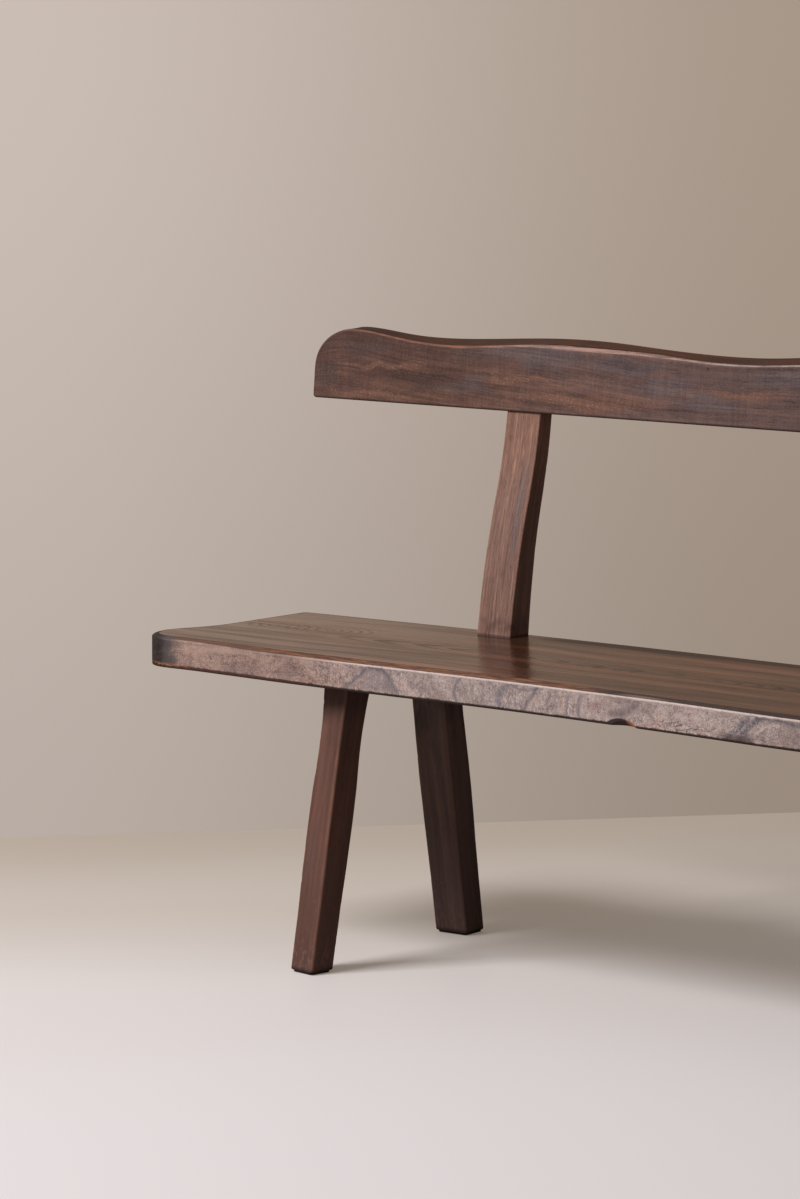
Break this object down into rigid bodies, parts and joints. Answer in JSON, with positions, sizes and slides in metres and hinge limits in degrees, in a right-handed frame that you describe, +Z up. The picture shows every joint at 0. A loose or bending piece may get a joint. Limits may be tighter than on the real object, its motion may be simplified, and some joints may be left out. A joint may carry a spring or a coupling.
{
  "type": "bench",
  "caption": "Long low-backed wooden bench: a live-edged slab seat on splayed legs, with curved posts that carry a wavy back rail.",
  "frame": {"origin": "on the floor, under the middle of the bench's outer box", "axes": "+X along the bench to the sitter's left, -Y the front, +Z up"},
  "size_m": [1.7, 0.4521, 0.8766],
  "materials": {
    "seat_wood": "dark brown, satin",
    "leg_wood": "dark brown, satin",
    "back_wood": "dark reddish brown, satin",
    "fastener_wood": "dark brown, matt",
    "felt": "dark felt, matt"
  },
  "bodies": {
    "root": {"seat_plank": "seat_wood", "front_left_leg": "leg_wood", "front_right_leg": "leg_wood", "rear_left_leg": "leg_wood", "rear_right_leg": "leg_wood", "left_back_post": "back_wood", "right_back_post": "back_wood", "back_rail": "back_wood", "front_left_glide": "felt", "front_right_glide": "felt", "rear_left_glide": "felt", "rear_right_glide": "felt", "leg_tenon_wedges": "fastener_wood", "post_tenon_wedges": "fastener_wood", "rail_pegs": "fastener_wood"}
  },
  "joints": []
}
